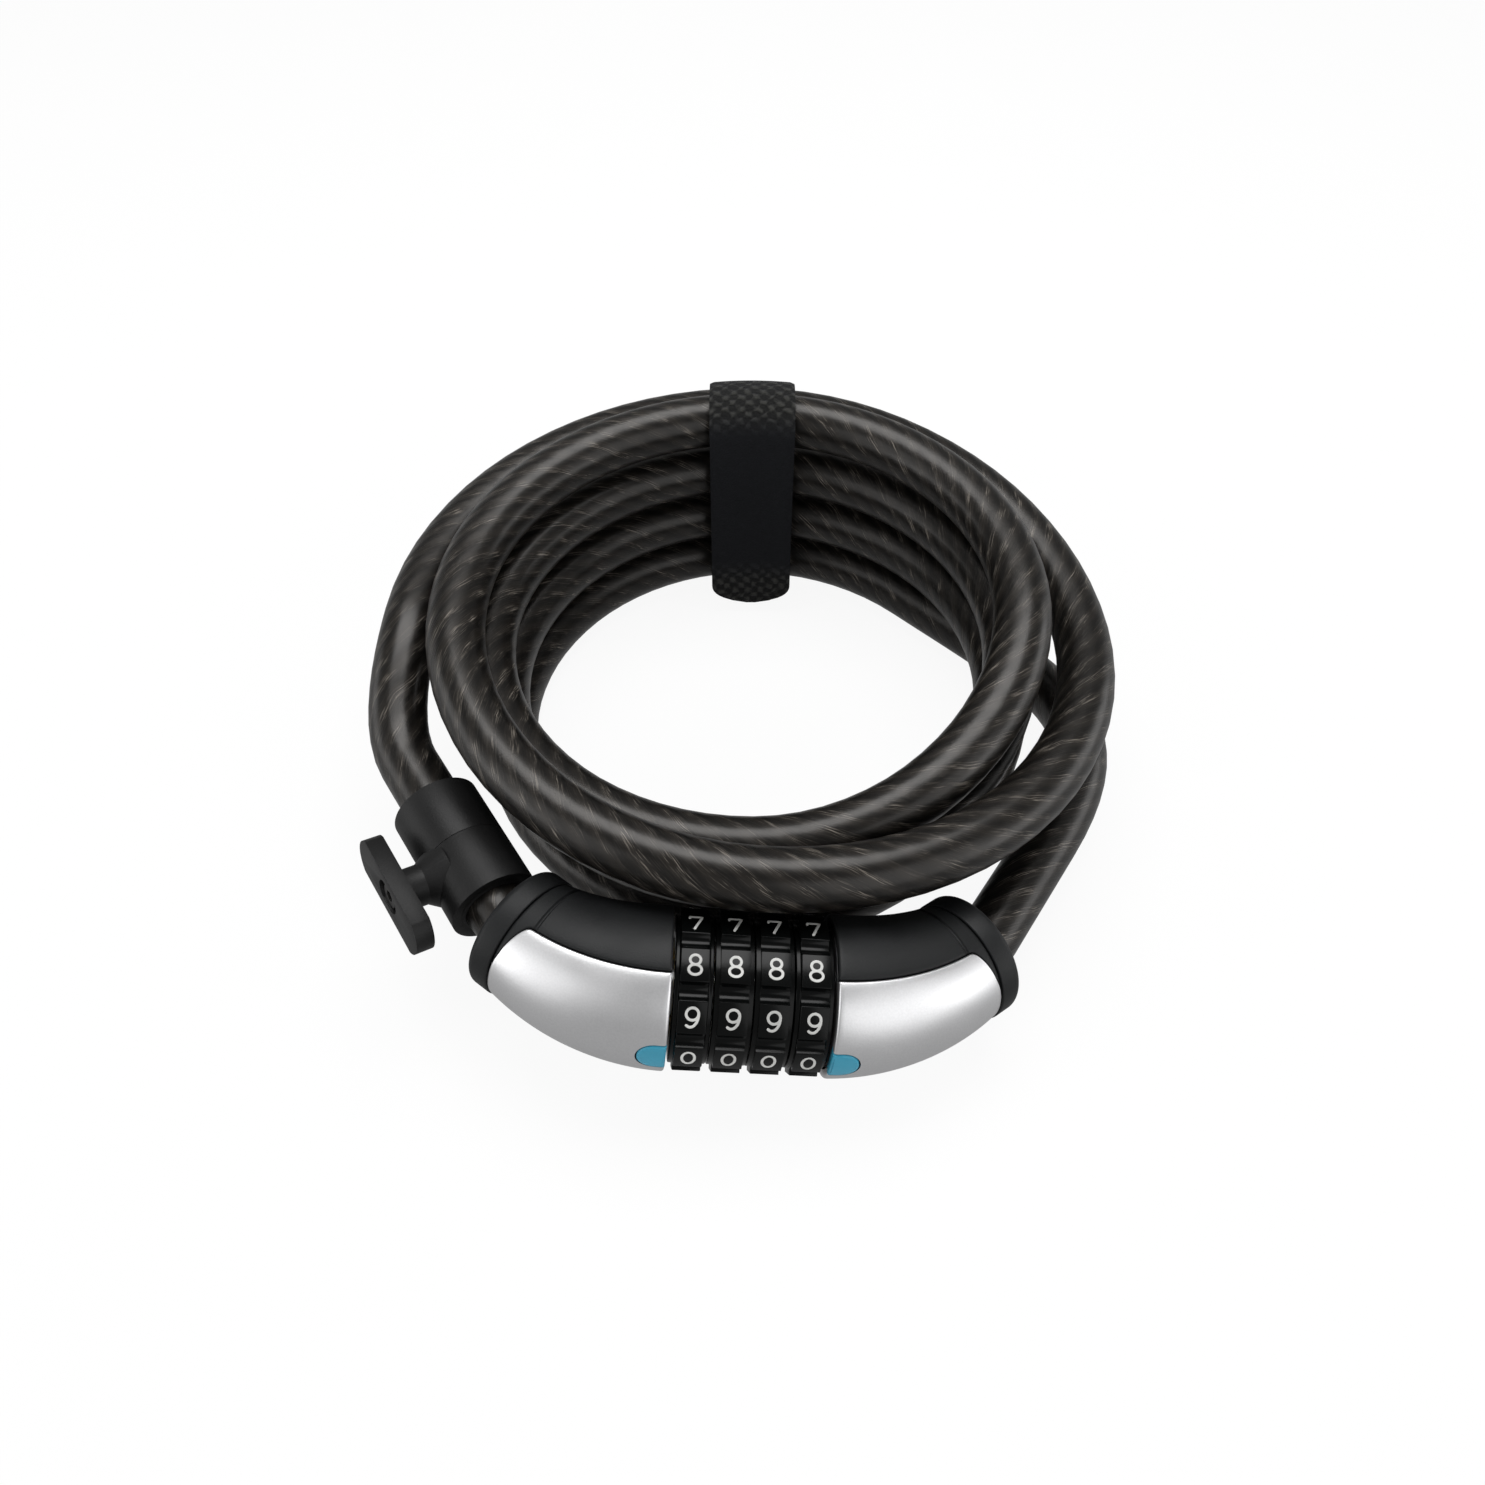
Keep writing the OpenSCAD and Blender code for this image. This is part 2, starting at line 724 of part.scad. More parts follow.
module bracket_near_ring() {
    color([0.09, 0.09, 0.1]) difference() {
        at_bracket() difference() {
            cylinder(r = bracket_r, h = seam_at - 0.1, $fn = round_fn);
            translate([0, 0, -1]) cylinder(r = ring_bore_r, h = bracket_l, $fn = round_fn);
            translate([0, 0, seam_at - spigot_l - 0.1])
                cylinder(r = ring_bore_r + spigot_wall + seat, h = bracket_l, $fn = round_fn);
        }
        screw_bore(screw_r + loose);
    }
}

module bracket_far_ring() {
    color([0.09, 0.09, 0.1]) difference() {
        at_bracket() difference() {
            union() {
                translate([0, 0, seam_at]) cylinder(r = bracket_r, h = bracket_l - seam_at, $fn = round_fn);
                translate([0, 0, seam_at - spigot_l])
                    cylinder(r = ring_bore_r + spigot_wall, h = spigot_l + 1, $fn = round_fn);
            }
            translate([0, 0, -1]) cylinder(r = ring_bore_r, h = bracket_l + 2, $fn = round_fn);
        }
        screw_bore(screw_r + loose);
    }
}

module bracket_liner() {
    color("black") at_bracket() difference() {
        cylinder(r = liner_in_r + liner_t, h = bracket_l, $fn = round_fn);
        translate([0, 0, -1]) cylinder(r = liner_in_r, h = bracket_l + 2, $fn = round_fn);
    }
}

// T-shaped stud: saddle foot, round neck and a bar along the cable
module bracket_tee() {
    color([0.09, 0.09, 0.1]) difference() {
        at_stud() union() {
            translate([0, 0, bracket_r - foot_low])
                cylinder(r1 = neck_d / 2 + foot_flare, r2 = neck_d / 2, h = foot_low + foot_h, $fn = round_fn);
            cylinder(r = neck_d / 2, h = tee_reach - tee_t + 0.1, $fn = round_fn);
            translate([0, 0, tee_reach - tee_t]) linear_extrude(tee_t) tee_outline();
        }
        at_bracket() translate([0, 0, -1]) cylinder(r = bracket_r + seat, h = bracket_l + 2, $fn = round_fn);
        screw_bore(screw_r + loose);
        at_stud() translate([0, 0, tee_reach - screw_head_h]) linear_extrude(tee_t) screw_slot();
    }
}

// A bar with rounded ends, a little flatter than half circles
module tee_outline() {
    end_d = tee_w * tee_flat;
    intersection() {
        square([tee_w, tee_l], center = true);
        union() {
            square([tee_w, tee_l - end_d], center = true);
            for (s = [-1, 1]) translate([0, s * (tee_l - end_d) / 2]) circle(d = end_d, $fn = small_fn);
        }
    }
}

// Oval seat of the screw's head
module screw_slot() {
    for (s = [-1, 1]) translate([0, s * slot_shift]) circle(r = screw_head_r + 2 * loose, $fn = small_fn);
    square([2 * (screw_head_r + 2 * loose), 2 * slot_shift], center = true);
}

module bracket_screw() {
    color("gray") at_stud() union() {
        translate([0, 0, ring_bore_r + loose])
            cylinder(r = screw_r, h = tee_reach - screw_head_h - ring_bore_r, $fn = small_fn);
        translate([0, 0, tee_reach - screw_head_h + seat]) difference() {
            cylinder(r = screw_head_r, h = screw_head_h - screw_sunk, $fn = small_fn);
            translate([0, 0, screw_floor]) cylinder(r = socket_r, h = screw_head_h, $fn = 6);
        }
    }
}

echo(least_gap_between_turns = turn_clearance());
echo(coil_length = path_length(coil_rings - 1));

left_core();
left_shell();
left_cover();
left_collar();
left_index_mark();
spindle_sleeve();
sleeve_cross_pin();
end_plate();
detent_leaf();
fixed_ferrule();
dial(1);  // dial_1
dial(2);  // dial_2
dial(3);  // dial_3
dial(4);  // dial_4
code_ring(1);  // code_ring_1
code_ring(2);  // code_ring_2
code_ring(3);  // code_ring_3
code_ring(4);  // code_ring_4
plug_core();
plug_shell();
plug_cover();
plug_collar();
plug_index_mark();
locking_pin();
plug_cross_pin();
plug_ferrule();
cable_lead(-1, left_run);  // cable_lead_left
cable_coil();
cable_lead(1, right_run);  // cable_lead_right
strap();
bracket_far_ring();
bracket_near_ring();
bracket_liner();
bracket_tee();
bracket_screw();
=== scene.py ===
import math
import bpy
import bmesh
import numpy as np
from mathutils import Matrix, Vector


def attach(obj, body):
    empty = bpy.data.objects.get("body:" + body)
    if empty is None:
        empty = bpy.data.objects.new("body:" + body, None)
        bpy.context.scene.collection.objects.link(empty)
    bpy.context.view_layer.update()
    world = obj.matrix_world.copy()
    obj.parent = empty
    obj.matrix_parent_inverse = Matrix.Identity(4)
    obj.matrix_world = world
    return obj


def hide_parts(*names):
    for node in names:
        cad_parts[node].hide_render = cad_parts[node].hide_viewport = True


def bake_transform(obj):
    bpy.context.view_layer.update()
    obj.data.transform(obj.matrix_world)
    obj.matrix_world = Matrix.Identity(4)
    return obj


# The looks of the coiled cable lock, made round its CAD solids and in the same frame.
# Shapes are worked out in mm and turned into metres by MM. Materials and light are in metres.

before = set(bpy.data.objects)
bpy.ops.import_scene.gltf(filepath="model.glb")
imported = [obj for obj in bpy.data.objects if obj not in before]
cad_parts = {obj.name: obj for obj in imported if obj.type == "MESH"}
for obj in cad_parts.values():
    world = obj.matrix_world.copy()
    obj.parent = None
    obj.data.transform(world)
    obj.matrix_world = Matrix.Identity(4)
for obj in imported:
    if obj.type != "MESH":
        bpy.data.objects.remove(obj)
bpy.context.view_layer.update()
MM = 0.001
scene = bpy.context.scene
scene.view_settings.view_transform = "Standard"

# ------------------------------------------------------------------ camera

PHOTO_PX, FOCAL_PX, SENSOR = 1485, 1180, 36.0
CAMERA_AT = (-1.4, -177.0, 218.0)
DOWN, YAW, ROLL = (math.radians(a) for a in (50.38, 0.16, 0.27))

cam_data = bpy.data.cameras.new("camera")
cam = bpy.data.objects.new("camera", cam_data)
scene.collection.objects.link(cam)
scene.camera = cam
cam_data.sensor_width = SENSOR
cam_data.lens = SENSOR * FOCAL_PX / PHOTO_PX
cam_data.clip_start, cam_data.clip_end = 0.01, 20
cam.location = Vector(CAMERA_AT) * MM
look = Vector((math.sin(YAW) * math.cos(DOWN), math.cos(YAW) * math.cos(DOWN), -math.sin(DOWN)))
cam.rotation_mode = "QUATERNION"
cam.rotation_quaternion = look.to_track_quat("-Z", "Y") @ Matrix.Rotation(ROLL, 3, "Z").to_quaternion()


# ------------------------------------------------------------------ materials

def material(name, color, rough, metal=0.0, coat=0.0, coat_rough=0.1, spec=0.5):
    m = bpy.data.materials.new(name)
    m.use_nodes = True
    b = m.node_tree.nodes["Principled BSDF"]
    b.inputs["Base Color"].default_value = (*color, 1)
    b.inputs["Roughness"].default_value = rough
    b.inputs["Metallic"].default_value = metal
    b.inputs["Coat Weight"].default_value = coat
    b.inputs["Coat Roughness"].default_value = coat_rough
    b.inputs["Specular IOR Level"].default_value = spec
    return m, b


def put(tree, kind, inputs=None, **fields):
    """A new node, with its fields set and each input either linked or given a value."""
    n = tree.nodes.new(kind)
    for k, v in fields.items():
        setattr(n, k, v)
    for k, v in (inputs or {}).items():
        if hasattr(v, "is_output"):
            tree.links.new(v, n.inputs[k])
        else:
            n.inputs[k].default_value = v
    return n


def calc(tree, op, a, b=0.0):
    return put(tree, "ShaderNodeMath", {0: a, 1: b}, operation=op).outputs[0]


def blend_colour(tree, share, a, b):
    n = tree.nodes.new("ShaderNodeMix")
    n.data_type = "RGBA"
    for k, v in ((0, share), (6, a), (7, b)):
        if hasattr(v, "is_output"):
            tree.links.new(v, n.inputs[k])
        elif k:
            n.inputs[k].default_value = (*v, 1)
        else:
            n.inputs[k].default_value = v
    return n.outputs[2]


def noise(tree, scale, detail=3.0, rough=0.5, vector=None):
    vector = vector or tree.nodes.new("ShaderNodeTexCoord").outputs["Object"]
    return put(tree, "ShaderNodeTexNoise", {"Vector": vector, "Scale": scale, "Detail": detail,
                                            "Roughness": rough}).outputs["Fac"]


def remap(tree, value, a, b, c, d):
    return put(tree, "ShaderNodeMapRange", {0: value, 1: a, 2: b, 3: c, 4: d}).outputs[0]


def bump(tree, b, height, distance, strength=1.0):
    n = put(tree, "ShaderNodeBump", {"Height": height, "Distance": distance, "Strength": strength})
    tree.links.new(n.outputs[0], b.inputs["Normal"])


def uv_numbers(tree, name):
    """U and V of a UV layer."""
    uv = put(tree, "ShaderNodeUVMap", uv_map=name)
    return put(tree, "ShaderNodeSeparateXYZ", {0: uv.outputs[0]}).outputs[:2]


def grained(name, color, rough, grain, depth, spread=0.12, tint=0.25, **more):
    """Moulded or cast surface: fine grain, cloudy roughness and a slight drift of colour."""
    m, b = material(name, color, rough, **more)
    t = m.node_tree
    fine = noise(t, grain, 2.0)
    cloud = noise(t, grain / 40, 3.0)
    t.links.new(remap(t, cloud, 0.3, 0.7, rough - spread / 2, rough + spread / 2), b.inputs["Roughness"])
    darker = tuple(c * (1 - tint) for c in color)
    t.links.new(blend_colour(t, remap(t, cloud, 0.35, 0.65, 0, 1), darker, color), b.inputs["Base Color"])
    bump(t, b, fine, depth)
    return m


SATIN_GRAIN, SATIN_CLOUD, SATIN_DEPTH = 2600, 60, 0.000012


def satin_metal(name, color, rough):
    """Finely blasted or plated metal."""
    m, b = material(name, color, rough, metal=1.0)
    t = m.node_tree
    fine = noise(t, SATIN_GRAIN, 2.0)
    cloud = noise(t, SATIN_CLOUD, 3.0)
    t.links.new(remap(t, cloud, 0.3, 0.7, rough - 0.04, rough + 0.05), b.inputs["Roughness"])
    darker = tuple(c * 0.94 for c in color)
    t.links.new(blend_colour(t, remap(t, fine, 0.3, 0.7, 0, 1), darker, color), b.inputs["Base Color"])
    bump(t, b, fine, SATIN_DEPTH)
    return m


STRANDS, LAY, JACKET_ROUND = 8, 0.052, 0.0377
WANDER, WANDER_GRAIN = 0.05, 120
GLINT_WIDE, GLINT_LONG, PATCH_GRAIN = 0.00022, 0.0042, 170
# Where on each crest the painted wire glints sit.
PAINTED_GLINT_SIDE = 0.9
# The haze colour in a groove, darkened there as painted shade, and on a crest; then the painted colour of a wire
# glint.
HAZE_IN_GROOVE_SHADE, HAZE_ON_CREST = (0.0024, 0.0021, 0.0018), (0.0098, 0.0082, 0.0067)
WIRE_PAINTED_GLINT = (0.27, 0.24, 0.205)


def jacket_material():
    """Smoky clear vinyl over steel rope: dark strands under a smooth surface, with painted shade in their
    grooves and thin painted wire glints. U goes round from 0 to 1, V along in metres."""
    m, b = material("jacket_vinyl", (0.01, 0.0095, 0.009), 0.36, coat=0.42, coat_rough=0.27, spec=0.2)
    b.inputs["Specular Tint"].default_value = (1.0, 0.93, 0.86, 1)
    t = m.node_tree
    u, v = uv_numbers(t, "lay")
    # The strands wander a little. Each has a groove (0) with painted shade, a crest (1), and a side where
    # painted glints sit.
    warp = calc(t, "MULTIPLY", calc(t, "SUBTRACT", noise(t, WANDER_GRAIN, 2.0), 0.5), WANDER)
    across = calc(t, "ADD", calc(t, "ADD", u, warp), calc(t, "DIVIDE", v, LAY))
    turn = calc(t, "MULTIPLY", across, STRANDS * 2 * math.pi)
    strand = remap(t, calc(t, "SINE", turn), -0.8, 1, 0, 1)
    edge = remap(t, calc(t, "SINE", calc(t, "ADD", turn, PAINTED_GLINT_SIDE)), -0.1, 0.9, 0.1, 1)
    # Single wires run along the strands, with painted glints in patches.
    sheared = put(t, "ShaderNodeCombineXYZ", {0: calc(t, "MULTIPLY", across, JACKET_ROUND / GLINT_WIDE),
                                              1: calc(t, "DIVIDE", v, GLINT_LONG)})
    wires = remap(t, noise(t, 1.0, 2.0, 0.55, sheared.outputs[0]), 0.52, 0.72, 0, 1)
    painted_glint_patches = remap(t, noise(t, PATCH_GRAIN, 2.0), 0.4, 0.66, 0.1, 1)
    lit = calc(t, "MULTIPLY", calc(t, "MULTIPLY", edge, wires), painted_glint_patches)
    # Base colour: the haze with painted shade in the grooves, and over it the painted wire glints.
    haze_and_groove_shade = blend_colour(t, strand, HAZE_IN_GROOVE_SHADE, HAZE_ON_CREST)
    t.links.new(blend_colour(t, lit, haze_and_groove_shade, WIRE_PAINTED_GLINT), b.inputs["Base Color"])
    height = calc(t, "ADD", calc(t, "MULTIPLY", strand, 0.8), calc(t, "MULTIPLY", wires, 0.2))
    bump(t, b, height, 0.00022, 0.5)
    return m


LOOP_W, LOOP_L, LOOP_DRIFT, DRIFT_GRAIN, NAP_GRAIN = 0.0036, 0.0029, 5.0, 420, 2400
FOLD_V, TIP_V = (0.013, 0.019), (0.054, 0.060)
# Nap and loop colours, from their low places, darkened as painted shade, to their tops, lightened as painted
# light.
NAP_IN_PAINTED_SHADE, NAP_IN_PAINTED_LIGHT = (0.0042, 0.0047, 0.006), (0.0215, 0.023, 0.028)
LOOPS_IN_PAINTED_SHADE, LOOPS_IN_PAINTED_LIGHT = (0.003, 0.003, 0.003), (0.034, 0.034, 0.031)


def strap_material():
    """Loop tape: napped all over, with knobbly loops where it turns over the top and at its tip.
    U across and V along, in metres."""
    m, b = material("strap_tape", (0.008, 0.0085, 0.012), 0.85, spec=0.2)
    b.inputs["Sheen Weight"].default_value = 0.12
    b.inputs["Sheen Roughness"].default_value = 0.5
    b.inputs["Sheen Tint"].default_value = (0.35, 0.36, 0.42, 1)
    t = m.node_tree
    u, v = uv_numbers(t, "weave")
    drift = calc(t, "MULTIPLY", calc(t, "SUBTRACT", noise(t, DRIFT_GRAIN, 2.0), 0.5), LOOP_DRIFT)
    waves = [calc(t, "SINE", calc(t, "ADD", calc(t, "MULTIPLY", along, 2 * math.pi / size), drift))
             for along, size in ((u, LOOP_W), (v, LOOP_L))]
    knobs = remap(t, calc(t, "MULTIPLY", *waves), -0.2, 0.9, 0, 1)
    worn = calc(t, "MAXIMUM", remap(t, v, *FOLD_V, 1, 0), remap(t, v, *TIP_V, 0, 1))
    nap = noise(t, NAP_GRAIN, 4.0, 0.7)
    height = calc(t, "ADD", calc(t, "MULTIPLY", calc(t, "MULTIPLY", knobs, worn), 0.9),
                  calc(t, "MULTIPLY", nap, 0.5))
    # Colour follows height: painted shade in the low places of the nap and loops, and painted light on their
    # tops.
    painted_height_shade = remap(t, height, 0.15, 1.0, 0, 1)
    plain = blend_colour(t, painted_height_shade, NAP_IN_PAINTED_SHADE, NAP_IN_PAINTED_LIGHT)
    loops = blend_colour(t, painted_height_shade, LOOPS_IN_PAINTED_SHADE, LOOPS_IN_PAINTED_LIGHT)
    t.links.new(blend_colour(t, worn, plain, loops), b.inputs["Base Color"])
    bump(t, b, height, 0.0005, 0.9)
    return m


JACKET = jacket_material()
STRAP = strap_material()
SATIN = satin_metal("satin_chrome", (0.78, 0.78, 0.79), 0.41)
SOFT = grained("soft_black", (0.0095, 0.0102, 0.0108), 0.5, 3200, 0.00003, spec=0.25)
DIAL = grained("dial_gloss", (0.002, 0.0023, 0.0023), 0.2, 1500, 0.000006, spread=0.06, spec=0.16)
PAINT = grained("number_paint", (0.62, 0.62, 0.60), 0.45, 4000, 0.00002)
BLUE = grained("index_blue", (0.042, 0.31, 0.45), 0.38, 3000, 0.00001, tint=0.1, spec=0.35)
NYLON = grained("bracket_nylon", (0.0095, 0.0095, 0.0096), 0.48, 2600, 0.00003, spec=0.25)
RUBBER = grained("liner_rubber", (0.012, 0.012, 0.012), 0.7, 2500, 0.00003)
ZINC = grained("cast_zinc", (0.16, 0.16, 0.165), 0.5, 1800, 0.00003, metal=0.9)
STEEL = satin_metal("plated_steel", (0.62, 0.62, 0.63), 0.3)
DARK_STEEL = satin_metal("blacked_steel", (0.035, 0.034, 0.033), 0.42)
BRASS = satin_metal("turned_brass", (0.70, 0.52, 0.24), 0.32)


# ------------------------------------------------------------------ meshes and pieces

def built(name, verts, faces, uv_name=None, uvs=None):
    mesh = bpy.data.meshes.new(name)
    mesh.from_pydata([tuple(v) for v in verts], [], faces)
    if uvs:
        layer = mesh.uv_layers.new(name=uv_name)
        layer.data.foreach_set("uv", np.array(uvs, np.float32).ravel())
    return mesh


def turned_out(mesh):
    """The same mesh with its faces turned outward."""
    bm = bmesh.new()
    bm.from_mesh(mesh)
    bmesh.ops.recalc_face_normals(bm, faces=bm.faces)
    bm.to_mesh(mesh)
    bm.free()
    return mesh


def piece(name, mesh, mat, body="lock_body", nodes=(), angle=35):
    """A visible piece, smooth but for edges sharper than angle."""
    o = bpy.data.objects.new(name, mesh)
    scene.collection.objects.link(o)
    mesh.materials.clear()
    mesh.materials.append(mat)
    for p in mesh.polygons:
        p.use_smooth = True
    mesh.set_sharp_from_angle(angle=math.radians(angle))
    if body:
        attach(o, body)
    if nodes:
        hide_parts(*nodes)
    return o


def applied(o):
    """The mesh of an object with its modifiers applied."""
    dg = bpy.context.evaluated_depsgraph_get()
    return bpy.data.meshes.new_from_object(o.evaluated_get(dg))


BEVEL_STEPS, BEVEL_FROM = 3, math.radians(30)
SAME_POINT, FLAT = 1e-7, math.radians(0.6)


def dressed(node, mat, body, bevel):
    """A CAD node as its own mesh with rounded edges and smooth faces."""
    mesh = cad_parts[node].data.copy()
    bm = bmesh.new()
    bm.from_mesh(mesh)
    bmesh.ops.remove_doubles(bm, verts=bm.verts, dist=SAME_POINT)
    bmesh.ops.dissolve_limit(bm, angle_limit=FLAT, verts=bm.verts, edges=bm.edges)
    bm.to_mesh(mesh)
    bm.free()
    o = bpy.data.objects.new(node + "_work", mesh)
    scene.collection.objects.link(o)
    if bevel:
        mod = o.modifiers.new("edges", "BEVEL")
        mod.width = bevel * MM
        mod.segments = BEVEL_STEPS
        mod.limit_method = "ANGLE"
        mod.angle_limit = BEVEL_FROM
        mod.harden_normals = False
    made = applied(o)
    bpy.data.objects.remove(o)
    return piece(node + "_dressed", made, mat, body, [node])


# ------------------------------------------------------------------ the route of the cable, in mm

CABLE_R, COIL_R = 6.0, 56.0
# The cable's place at each quarter turn from FIRST on, as steps outward from COIL_R and up from the
# floor. At 4.5 turns it lies on the strap.
STEP = 12.8
LAID = [
    (1.4, 2.45), (1.3, 2.6), (1.3, 2.05), (1.0, 2.6),
    (0.45, 3.1), (0, 3.35), (0.06, 3.1), (0.1, 2.05),
    (0.15, 2.1), (0, 2.25), (0.06, 2.0), (0, 1.02),
    (0.05, 1.05), (0, 1.17), (0.06, 1.0), (0, 0),
    (0.05, 0), (0, 1.6 / 12.8), (0.1, 0),
]
FIRST, LAST = 0.25, 4.625
COIL = np.array((1.2, 8.055))
# The head: its place and tilt, its halves' bend and collars, and the cable's way out of them.
HEAD_Y, HEAD_Z, TILT = -73.145, 20.5, math.radians(6)
FACE_X, BEND_R, BEND, COLLAR_L = 14.6, 44.0, math.radians(36), 5.0
END = (FACE_X + BEND_R * math.sin(BEND) + COLLAR_L * math.cos(BEND),
       BEND_R * (1 - math.cos(BEND)) + COLLAR_L * math.sin(BEND))
LEAD_R, LEAD, LEAD_STEPS = 14.0, math.radians(20), 6
LEFT_RUN, RIGHT_RUN, STUB, PAST_RUN, END_PULL = 27.0, 16.0, 2.6, 12.0, 1.55


def tilted(v):
    """A direction of the head, in the part's frame."""
    c, s = math.cos(TILT), math.sin(TILT)
    return np.array((v[0] * c + v[2] * s, v[1], v[2] * c - v[0] * s))


def head_point(v):
    return tilted(v) + np.array((0, HEAD_Y, HEAD_Z))


def lead_way(side, bend):
    """The way the cable goes after a bend past the collar, on the left (-1) or right (1)."""
    a = BEND + bend
    return tilted((side * math.cos(a), math.sin(a), 0))


def lead_point(side, bend):
    a = BEND + bend
    x = END[0] - LEAD_R * math.sin(BEND) + LEAD_R * math.sin(a)
    y = END[1] + LEAD_R * math.cos(BEND) - LEAD_R * math.cos(a)
    return head_point((side * x, y, 0))


def cubic(a, ma, b, mb, t):
    """From a with slope ma to b with slope mb."""
    return (a * (1 + t * t * (2 * t - 3)) + b * t * t * (3 - 2 * t)
            + ma * t * (1 - t) ** 2 - mb * t * t * (1 - t))


def slope(a, b, c):
    """At b, without overshoot."""
    return 2 * (b - a) * (c - b) / (c - a) if (b - a) * (c - b) > 0 else 0.0


def laid(turn, k):
    s = (turn - FIRST) * 4
    i = min(len(LAID) - 2, int(s))
    before, here, there, after = (LAID[max(0, min(len(LAID) - 1, n))][k] for n in range(i - 1, i + 3))
    return cubic(here, slope(before, here, there), there, slope(here, there, after), s - i)


def laid_at(turn):
    """The cable's distance from the coil's axis and its height, after this many turns."""
    return np.array((COIL_R + STEP * laid(turn, 0), CABLE_R + STEP * laid(turn, 1)))


def coil_point(turn):
    (r, z), a = laid_at(turn), 2 * math.pi * turn
    return np.array((COIL[0] - r * math.sin(a), COIL[1] - r * math.cos(a), z))


def unit(v):
    return v / np.linalg.norm(v)


def lead(side, run):
    """Out of the collar: a stub inside it, a bend and a straight run."""
    pts = [lead_point(side, 0) - STUB * lead_way(side, 0)]
    pts += [lead_point(side, LEAD * k / LEAD_STEPS) for k in range(LEAD_STEPS + 1)]
    shares = (0.33, 0.67, 1.0, (run + PAST_RUN) / run)
    return pts + [lead_point(side, LEAD) + run * lead_way(side, LEAD) * f for f in shares]


def joined(p, wp, q, wq, n, pull=1.0):
    """Points between p and q, leaving along wp and arriving along wq."""
    reach = pull * np.linalg.norm(q - p)
    return [cubic(p, wp * reach, q, wq * reach, i / n) for i in range(1, n)]


TURN_STEPS, LEFT_STEPS, RIGHT_STEPS = 72, 10, 22
TINY = 0.001
left_lead, right_lead = lead(-1, LEFT_RUN), lead(1, RIGHT_RUN)
first_way = unit(coil_point(FIRST + TINY) - coil_point(FIRST))
last_way = unit(coil_point(LAST) - coil_point(LAST - TINY))
turns = np.linspace(FIRST, LAST, int((LAST - FIRST) * TURN_STEPS) + 1)
route = np.array(
    left_lead
    + joined(left_lead[-1], lead_way(-1, LEAD), coil_point(FIRST), first_way, LEFT_STEPS)
    + [coil_point(t) for t in turns]
    + joined(coil_point(LAST), last_way, right_lead[-1], -lead_way(1, LEAD), RIGHT_STEPS, END_PULL)
    + right_lead[::-1])
ways = np.gradient(route, axis=0)
ways /= np.linalg.norm(ways, axis=1)[:, None]
ways[:2] = lead_way(-1, 0)
ways[-2:] = -lead_way(1, 0)
along = np.concatenate([[0], np.cumsum(np.linalg.norm(np.diff(route, axis=0), axis=1))])

CABLE_SIDES = 32


def tube(pts, ways, start):
    """Closed tube through pts, with a seam along its side and UVs that count metres along it."""
    verts, faces, uvs = [], [], []
    n, sides = len(pts), CABLE_SIDES
    for p, w in zip(pts, ways):
        side = unit(np.cross(w, (0, 0, 1)))
        up = np.cross(side, w)
        for j in range(sides):
            a = 2 * math.pi * j / sides
            verts.append((p + CABLE_R * (math.cos(a) * side + math.sin(a) * up)) * MM)
    for i in range(n - 1):
        v0, v1 = start[i] * MM, start[i + 1] * MM
        for j in range(sides):
            k = (j + 1) % sides
            faces.append((i * sides + j, i * sides + k, (i + 1) * sides + k, (i + 1) * sides + j))
            u0, u1 = j / sides, (j + 1) / sides
            uvs += [(u0, v0), (u1, v0), (u1, v1), (u0, v1)]
    faces += [tuple(range(sides - 1, -1, -1)), tuple(range((n - 1) * sides, n * sides))]
    uvs += [(0, 0)] * (2 * sides)
    return built("tube", verts, faces, "lay", uvs)


# The cable is split where its end begins to follow the plug. The end is a piece of its own, not attached to a
# body.
SPLIT_TURN = 4.6
cut = int(np.argmin(np.linalg.norm(route - coil_point(SPLIT_TURN), axis=1)))
main = piece("cable_main", tube(route[:cut + 1], ways[:cut + 1], along[:cut + 1]), JACKET,
             nodes=["cable_lead_left", "cable_coil"])
end = piece("cable_end", tube(route[cut:], ways[cut:], along[cut:]), JACKET, body=None,
            nodes=["cable_lead_right"])
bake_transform(end)


# ------------------------------------------------------------------ housing

# Radius at the dials and at the collar, a skin's thickness, the gap at a seam, and a half's length.
MID_R, END_R, SKIN, SEAM = 15.0, 12.0, 1.6, 0.25
LENGTH = BEND_R * BEND
INDEX = math.radians(6)
# The silver skin's border in degrees: at the dials, at the collar, at least, and from where it closes.
BORDER_MID, BORDER_END, BORDER_LEAST, BORDER_TURN = 72, 74, 6.0, 0.88
# The panel line across a cover: its place along the half, and its half width and depth.
GROOVE_T, GROOVE_HALF, GROOVE_DEEP, GROOVE_ROWS, GROOVE_CLEAR = 0.86, 0.45, 0.4, 4, 0.15
# Rows near a rim, in mm from it, and how far the other rows keep off them.
RIM = [0, 0.06, 0.16, 0.3, 0.45]
RIM_R, RIM_SHARE, FIRST_CLEAR_T, LAST_CLEAR = RIM[-1], 0.3, 0.01, 0.8
SKIN_ROWS, SHELL_COLS, COVER_COLS = 44, 40, 60


def housing_r(t):
    return MID_R - (MID_R - END_R) * t ** 1.5


def border(t):
    """How far up and down the silver skin goes at t, with round corners at the collar."""
    past = max(0.0, (t - BORDER_TURN) / (1 - BORDER_TURN))
    full = BORDER_MID + (BORDER_END - BORDER_MID) * t
    return math.radians(max(BORDER_LEAST, full * math.sqrt(max(0.0, 1 - past * past))))


